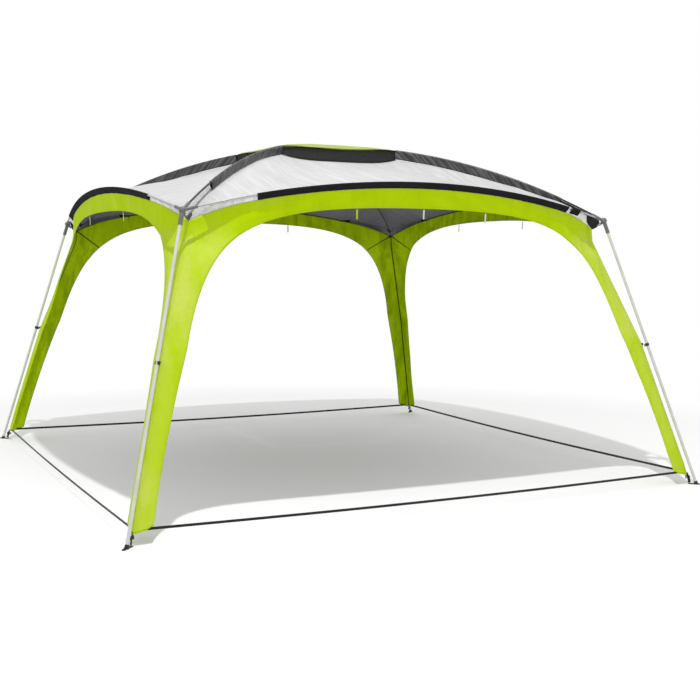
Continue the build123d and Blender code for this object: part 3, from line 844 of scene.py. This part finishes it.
def vent_mesh(quarter):
    """Net wall between the roof's edge at the vent and the cap."""
    side = SIDES[quarter]
    rows = []
    for level in shares(MESH_ROWS):
        row = []
        for part in shares(MESH_COLUMNS):
            share = 2 * part - 1
            x = share * (VENT - 0.001)
            low = ridge_height(VENT) - VENT_SAG * (1 - share ** 4) + 0.001
            high = CAP_TOP - CAP_ROUND * (x ** 2 + MESH_PLANE ** 2) - cap_sag(x, MESH_PLANE) - NET_GAP
            z = mix(low, high, level)
            slack = (wrinkle(NET_FOLDS, (x, 0, z), quarter) + NET_BELLY) * sin(pi * level)
            place = turned(Vector((x, -MESH_PLANE + slack, z)), quarter)
            row.append((place, (x, z), min(level, 1 - level) * (high - low), NO_SEAM))
        rows.append(row)
    name = f"vent_net_{side}"
    taut_sheet(name, Cloth().add(rows).mesh(name), [black_net], ["vent_mesh"],
               CLOTH / 2)


# -------- sleeves
SLEEVE_STEP = 0.007
SLEEVE_WRAP = (-25, 205, 12)  # degrees round the pole, from and to, and steps
SLEEVE_SKIRT = ((0.35, 0.62), (0.6, 0.45), (0.85, 0.28), (1.0, 0.16))
PLEATS = (0.0090, (36, 1, 5), 0)
PLEAT_SHARE = 0.0018  # added to the pleats' height, so that most of them stand out
SLEEVE_SLACK = (0.0030, (9, 1, 6), 5)
SLEEVE_WAVES = (0.0012, (7, 1, 1), 11)


def sleeve_section(pole, depth):
    """Closed outline (radial, sideways) of cloth round a pole, narrowing below it to its seam."""
    first, last, steps = SLEEVE_WRAP
    angles = [radians(mix(first, last, share)) for share in shares(steps)]
    outline = [(pole * sin(angle), pole * cos(angle)) for angle in angles]
    outline += [(-depth * share, -pole * width) for share, width in SLEEVE_SKIRT]
    outline += [(-depth * share, pole * width) for share, width in SLEEVE_SKIRT[::-1]]
    return outline


def sleeve_point(arch, along, radial, sideways, depth, seed, fullness):
    """A point of a sleeve's cloth, pleated more towards its seam."""
    low = -radial / depth if radial < 0 else 0.0
    side = 1 if sideways > 0 else -1
    lean = along + PLEAT_LEAN * radial
    pleat = max(0.0, wrinkle(PLEATS, (lean, 0, radial), seed + side) + PLEAT_SHARE)
    pucker = pleat * ease(0.0, 0.25, low) * (1.2 - low)
    slack = wrinkle(SLEEVE_SLACK, (along, 0, radial), seed + side) * ease(0.0, 0.2, low) * (1.1 - low)
    wave = wrinkle(SLEEVE_WAVES, (along, 0, 0), seed)
    return arch.point(along, radial + wave * low, sideways + side * fullness * (pucker + slack))


def sleeve(name, arch, span, pole, depth, quarter, kind, seed, fullness):
    """Cloth sleeve along a pole, pleated where it is sewn to the canopy."""
    material, record_slot, node = kind
    stations = int((span[1] - span[0]) / SLEEVE_STEP)
    outline = sleeve_section(pole, depth)
    around = [0.0]
    for a, b in zip(outline, outline[1:] + outline[:1]):
        around.append(around[-1] + hypot(b[0] - a[0], b[1] - a[1]))
    rows = []
    for share in shares(stations):
        along = mix(*span, share)
        row = []
        for (radial, sideways), run in zip(outline, around):
            place = sleeve_point(arch, along, radial, sideways, depth, seed, fullness)
            to_hem = radial + depth if radial < -pole * 0.7 else FAR_HEM
            row.append((turned(place, quarter), (along + PLEAT_LEAN * radial, run), to_hem, NO_SEAM))
        rows.append(row)
    taut_sheet(name, Cloth().add(rows, closed=True).mesh(name), [material], [node],
               CLOTH / 2, offset=1.0)


SIDE_POLE_WRAP = 0.0072  # radius of the cloth round the pole
ROOF_POLE_WRAP = 0.0082
TAIL_WRAP = 0.0070
SIDE_DEPTH = 0.0325
LEFT_DEPTH = 0.040
TAIL_DEPTH = 0.030
RIDGE_GAP = 0.004  # between a roof sleeve's seam and the ridge
SIDE_KIND = (black_cloth, "side_sleeve", "perimeter_sleeves")
ROOF_KIND = (charcoal, "roof_sleeve", "diagonal_sleeves")


def sleeves():
    sleeve("sleeve_tail", SIDE, SLEEVE_TAIL, TAIL_WRAP, TAIL_DEPTH, 0, SIDE_KIND, seed=199,
           fullness=0.6)
    for quarter, side in enumerate(SIDES):
        depth = LEFT_DEPTH if side == "left" else SIDE_DEPTH
        sleeve(f"side_sleeve_{side}", SIDE, SIDE_SLEEVE_ENDS[side], SIDE_POLE_WRAP, depth, quarter,
               SIDE_KIND, seed=200 + quarter, fullness=0.35)
        lower = quarter % 2
        arch = LOWER if lower else UPPER
        depth = RIDGE_DROP - (PEAK_UPPER - PEAK_LOWER if lower else 0.0) - RIDGE_GAP
        span = (ROOF_SLEEVE[0] * sqrt(2), (ROOF_SLEEVE[1] if lower else LONG_SLEEVE) * sqrt(2))
        sleeve(f"roof_sleeve_{CORNERS[quarter]}", arch, span, ROOF_POLE_WRAP, depth, quarter,
               ROOF_KIND, seed=220 + quarter, fullness=1.0)


# -------- webbing
SOFT_EDGE = 0.4  # a strap's rounded edge, as a share of its thickness


def strip_mesh(name, points, width_dirs, normals, width, thickness):
    """A flat strap along points, with its width and thickness directions at each of them."""
    rows = []
    run = 0.0
    for index, (point, across, normal) in enumerate(zip(points, width_dirs, normals)):
        if index:
            run += (point - points[index - 1]).length
        half, deep = across * width / 2, normal * thickness / 2
        flat = half - across * thickness * SOFT_EDGE
        ring = (-flat - deep, flat - deep, half, flat + deep, -flat + deep, -half)
        across_uv = (0.0, width, width, width, 0.0, 0.0)
        rows.append([(point + out, (run, v), FAR_HEM, NO_SEAM) for out, v in zip(ring, across_uv)])
    mesh = Cloth().add(rows, closed=True).mesh(name)
    return cap_ends(mesh, len(rows), len(ring))


def cap_ends(mesh, rows, count):
    """Closes both ends of a strap."""
    edit = bmesh.new()
    edit.from_mesh(mesh)
    edit.verts.ensure_lookup_table()
    for start in (0, (rows - 1) * count):
        edit.faces.new([edit.verts[start + i] for i in range(count)])
    bmesh.ops.recalc_face_normals(edit, faces=edit.faces)
    edit.to_mesh(mesh)
    edit.free()
    mesh.shade_smooth()
    return mesh


def nurbs_points(name, control, resolution=24):
    """Points along the smooth line of a strap's route."""
    curve = bpy.data.curves.new(name, "CURVE")
    curve.dimensions = "3D"
    spline = curve.splines.new("NURBS")
    spline.points.add(len(control) - 1)
    for held, point in zip(spline.points, control):
        held.co = (*point, 1.0)
    spline.order_u = 3
    spline.use_endpoint_u = True
    spline.resolution_u = resolution
    carrier = bpy.data.objects.new(name, curve)
    line = bpy.data.meshes.new_from_object(carrier)
    points = [vertex.co.copy() for vertex in line.vertices]
    bpy.data.objects.remove(carrier)
    bpy.data.curves.remove(curve)
    bpy.data.meshes.remove(line)
    return points


STRAP_STOPS = (-1.0, -0.55, 0.0, 0.55, 1.0)
STRAP_TWIST = (0.16, (6, 1, 1), 300)


def ground_strap(quarter):
    """Taut webbing on edge between the hems of two legs."""
    side = SIDES[quarter]
    span = Arch(Vector((0, -STRAP_PLANE, STRAP_Z)), Vector((1, 0, 0)), -UP, STRAP_END, STRAP_SAG)
    control = [turned(span.point(STRAP_END * share), quarter) for share in STRAP_STOPS]
    points = nurbs_points(f"strap_route_{side}", control)
    width_dirs, normals = [], []
    outward = turned(Vector((0, -1, 0)), quarter)
    for share in shares(len(points) - 1):
        tilt = wrinkle(STRAP_TWIST, (share, quarter, 0), 0) * sin(pi * share)
        width_dirs.append((UP * cos(tilt) + outward * sin(tilt)).normalized())
        normals.append((outward * cos(tilt) - UP * sin(tilt)).normalized())
    name = f"ground_webbing_{side}"
    mesh = strip_mesh(name, points, width_dirs, normals, STRAP_WIDTH, TAPE)
    obj = add_object(name, mesh, [black_webbing], "canopy", [f"ground_strap_{side}"])


TIE_STEPS = 12
TIE_THICKNESS = 0.0009
TIE_BEND = (0.002, 0.003)  # bow at its middle, and curl at its free end
TIE_TWIST = (0.25, (3.1, 2.3, 1), 310)


def tie(quarter, number, x):
    """Tape tie that hangs inside the arch edge, a little curled at its free end."""
    side = SIDES[quarter]
    height = arch_height(abs(x))
    edge = arch_edge(x, height)
    width, length = TIE_SIZE
    points, width_dirs, normals = [], [], []
    for share in shares(TIE_STEPS):
        curl = TIE_BEND[0] * sin(pi * share) + TIE_BEND[1] * share ** 2
        twist = wrinkle(TIE_TWIST, (number, quarter, 0), 0) * share
        place = Vector((x, edge.y + TIE_INSET + curl, height - TIE_DROP - length * share))
        across = Vector((cos(twist), sin(twist), 0))
        points.append(turned(place, quarter))
        width_dirs.append(turned(across, quarter))
        normals.append(turned(Vector((-sin(twist), cos(twist), 0)), quarter))
    node = f"wall_tie_{side}_{number}"
    mesh = strip_mesh(f"tape_{node}", points, width_dirs, normals, width, TIE_THICKNESS)
    tape = lime_tape if (side, number) == ("front", 1) else white_tape
    body = f"tie_{side}_{number}"
    obj = add_object(f"tape_{side}_{number}", mesh, [tape], body, [node])


def plate_mesh(name, outline, thickness, centre, quarter):
    """Flat webbing patch in the corner's diagonal plane: outline is (inwards, up) of centre."""
    front, back = [], []
    for inwards, up in outline:
        place = centre - OUT * inwards + UP * up
        front.append(turned(place + ACROSS * thickness / 2, quarter))
        back.append(turned(place - ACROSS * thickness / 2, quarter))
    count = len(outline)
    faces = [tuple(range(count)), tuple(range(2 * count - 1, count - 1, -1))]
    for i in range(count):
        j = (i + 1) % count
        faces.append((i, count + i, count + j, j))
    mesh = bpy.data.meshes.new(name)
    mesh.from_pydata(front + back, [], faces)
    layer = mesh.uv_layers.new(name="cloth")
    for loop in mesh.loops:
        layer.data[loop.index].uv = outline[loop.vertex_index % count]
    seam = mesh.attributes.new("seam", "FLOAT", "POINT")
    seam.data.foreach_set("value", [FAR_HEM] * (2 * count))
    return mesh


EAR_TIP = [(0.076, -0.054), (0.045, -0.042), (0.030, -0.030), (0.030, -0.020), (0.045, -0.0265)]
EAR_END = [(0.104, -0.008), (0.108, -0.020)]
GUSSET_TIP = [(0.076, -0.054), (0.060, -0.050), (0.042, -0.040), (0.024, -0.024), (0.026, -0.004)]
GUSSET_SPAN = (0.034, 0.316)  # distances inwards from the hub
GUSSET_STEPS = 12
GUSSET_UNDER = 0.1  # from here inwards the roof's ridge bounds the gusset
GUSSET_GAP = 0.007
PATCH_THICKNESS = 0.0022
PATCH_BEVEL = 0.0006
TAB = ((-0.2515, -0.2410), (-0.756, -0.740))
FOOT_STRAP = ((2.412, 0.070), (2.433, 0.008))  # (outwards, up) of its two ends
FOOT_STRAP_WIDTH = 0.016
FOOT_STRAP_BOW = 0.004
FOOT_STRAP_STEPS = 16


def ear_outline(quarter):
    """Outline of the hook's ear; under the upper diagonal pole it runs on as a gusset."""
    if quarter % 2:
        return EAR_TIP + EAR_END
    spots = [mix(*GUSSET_SPAN, share) for share in shares(GUSSET_STEPS)]
    over = [(d, UPPER.point(HUB_OUT - d).z - HUB_Z - GUSSET_GAP) for d in spots]
    under = [(d, ridge_height(HUB - d / sqrt(2)) - HUB_Z + 0.002) for d in spots if d > GUSSET_UNDER]
    return GUSSET_TIP + over + under[::-1]


def webbing_patch(name, outline, quarter):
    hub = OUT * HUB_OUT + UP * HUB_Z
    mesh = plate_mesh(name, outline, PATCH_THICKNESS, hub, quarter)
    obj = add_object(name, mesh, [black_webbing], "canopy", ["corner_webbing"])
    bevel = obj.modifiers.new("soft edge", "BEVEL")
    bevel.width = PATCH_BEVEL
    bevel.segments = 2


def foot_strap(quarter):
    """Webbing from the corner of the hem down to the tongue of the foot."""
    (top_out, top_z), (end_out, end_z) = FOOT_STRAP
    points = []
    for share in shares(FOOT_STRAP_STEPS):
        out = mix(top_out, end_out, share) + FOOT_STRAP_BOW * sin(pi * share)
        points.append(turned(OUT * out + UP * mix(top_z, end_z, share), quarter))
    width_dirs = [turned(OUT, quarter)] * len(points)
    normals = [turned(ACROSS, quarter)] * len(points)
    name = f"foot_strap_{CORNERS[quarter]}"
    mesh = strip_mesh(name, points, width_dirs, normals, FOOT_STRAP_WIDTH, TAPE)
    add_object(name, mesh, [black_webbing], "canopy", ["corner_webbing"])


def corner_webbing(quarter):
    """The hook's ear, the clip's tab and the foot strap at one corner."""
    corner = CORNERS[quarter]
    (inner, outer), (low, high) = TAB
    webbing_patch(f"ear_{corner}", ear_outline(quarter), quarter)
    webbing_patch(f"tab_{corner}", [(inner, low), (outer, low), (outer, high), (inner, high)], quarter)
    foot_strap(quarter)


def main():
    finish_frame()
    roof()
    vent_cap()
    sleeves()
    curtain()
    for quarter in range(4):
        vent_mesh(quarter)
        ground_strap(quarter)
        corner_webbing(quarter)
        for number, x in enumerate(TIE_SPOTS if quarter else FRONT_TIE_SPOTS, 1):
            tie(quarter, number, x)


# -------- studio
CAMERA_PLACE = Vector((-3.0555, -6.6898, 1.3413))
CAMERA_TURN = radians(-26.460)
CAMERA_DIP = radians(4.676)
CAMERA_ROLL = radians(0.288)
CAMERA_LENS = 56.52


def camera():
    level = Vector((sin(CAMERA_TURN), -cos(CAMERA_TURN), 0))
    away = level * cos(CAMERA_DIP) + UP * sin(CAMERA_DIP)
    right = UP.cross(away).normalized()
    top = away.cross(right)
    rolled = right * cos(CAMERA_ROLL) + top * sin(CAMERA_ROLL)
    rolled_top = top * cos(CAMERA_ROLL) - right * sin(CAMERA_ROLL)
    data = bpy.data.cameras.new("camera")
    data.lens = CAMERA_LENS
    data.clip_end = 200
    obj = new_object("camera", data)
    axes = Matrix((rolled, rolled_top, away)).transposed()
    obj.matrix_world = Matrix.Translation(CAMERA_PLACE) @ axes.to_4x4()
    bpy.context.scene.camera = obj


FLOOR_SIZE = 60.0
FLOOR_COLOUR = (0.94, 0.94, 0.94)
FLOOR_FADE = (3.4, 4.6)
SKY = 0.80
LAMP_PLACE = (-1.15, -2.30, 6.20)
LAMP_POWER = 800.0
LAMP_RADIUS = 0.07


def floor():
    """Pale floor that fades to white in the distance."""
    half = FLOOR_SIZE / 2
    mesh = bpy.data.meshes.new("floor")
    mesh.from_pydata([(-half, -half, 0), (half, -half, 0), (half, half, 0), (-half, half, 0)], [],
                     [(0, 1, 2, 3)])
    obj = new_object("floor", mesh)
    paint = Shader("floor_paint", FLOOR_COLOUR, 0.9, Specular_IOR_Level=0.05)
    away = paint.add("VectorMath", {0: paint.object_place()}, operation="LENGTH").outputs["Value"]
    far = paint.ramp(away, *FLOOR_FADE)
    glow = paint.add("Emission", {"Color": (1, 1, 1), "Strength": 1.0})
    both = paint.add("MixShader", {0: far, 1: paint.surface.outputs[0], 2: glow.outputs[0]})
    paint.feed(paint.output.inputs["Surface"], both.outputs[0])
    mesh.materials.append(paint.material)


def sky():
    """White behind the shelter, and a softer even light on it."""
    world = bpy.data.worlds.new("studio")
    world.use_nodes = True
    tree = world.node_tree
    light = tree.nodes["Background"]
    light.inputs["Color"].default_value = (1, 1, 1, 1)
    light.inputs["Strength"].default_value = SKY
    seen = tree.nodes.new("ShaderNodeBackground")
    seen.inputs["Color"].default_value = (1, 1, 1, 1)
    path = tree.nodes.new("ShaderNodeLightPath")
    both = tree.nodes.new("ShaderNodeMixShader")
    tree.links.new(path.outputs["Is Camera Ray"], both.inputs[0])
    tree.links.new(light.outputs[0], both.inputs[1])
    tree.links.new(seen.outputs[0], both.inputs[2])
    tree.links.new(both.outputs[0], tree.nodes["World Output"].inputs["Surface"])
    bpy.context.scene.world = world


def studio():
    """Floor, sky and one soft lamp above the near corner."""
    floor()
    sky()
    light = bpy.data.lights.new("lamp", "POINT")
    light.energy = LAMP_POWER
    light.shadow_soft_size = LAMP_RADIUS
    new_object("lamp", light).location = LAMP_PLACE
    bpy.context.scene.view_settings.view_transform = "Standard"


camera()
studio()
main()
